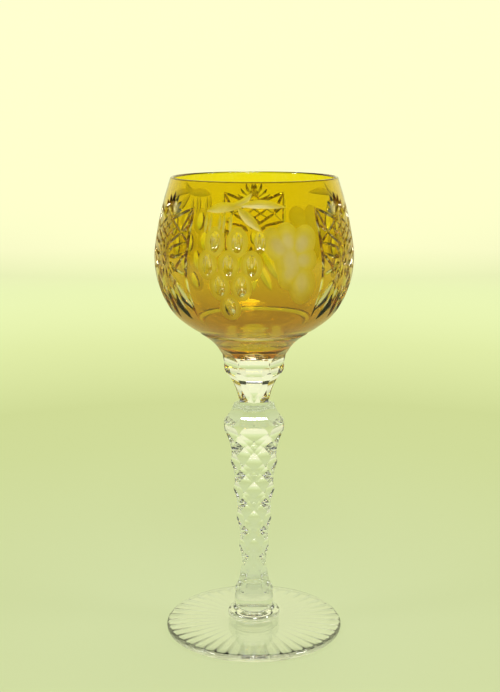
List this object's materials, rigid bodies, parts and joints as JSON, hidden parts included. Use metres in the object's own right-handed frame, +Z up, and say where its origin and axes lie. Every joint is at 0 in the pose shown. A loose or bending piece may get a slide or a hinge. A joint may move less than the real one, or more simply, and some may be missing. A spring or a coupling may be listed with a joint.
{
  "type": "wine glass",
  "caption": "Tall stemmed wine glass: round bowl in clear crystal with an amber overlay cut with grapes, leaves and stars, a faceted tapering stem, and a round fluted foot.",
  "frame": {"origin": "centre of the foot, on the plane that the glass stands on", "axes": "+Z up along the axis of the glass, -Y towards the front, where one grape panel faces, +X to the right of it"},
  "size_m": [0.0841, 0.0842, 0.2],
  "materials": {
    "bowl_crystal": "polished clear lead crystal",
    "amber_overlay": "polished amber overlay glass, cut through and partly matt",
    "clear_crystal": "polished clear lead crystal with cut facets"
  },
  "bodies": {
    "root": {"bowl_crystal": "bowl_crystal", "amber_casing": "amber_overlay", "neck_knop": "clear_crystal", "stem": "clear_crystal", "stem_base_collar": "clear_crystal", "merese_ring": "clear_crystal", "foot": "clear_crystal"}
  },
  "joints": []
}
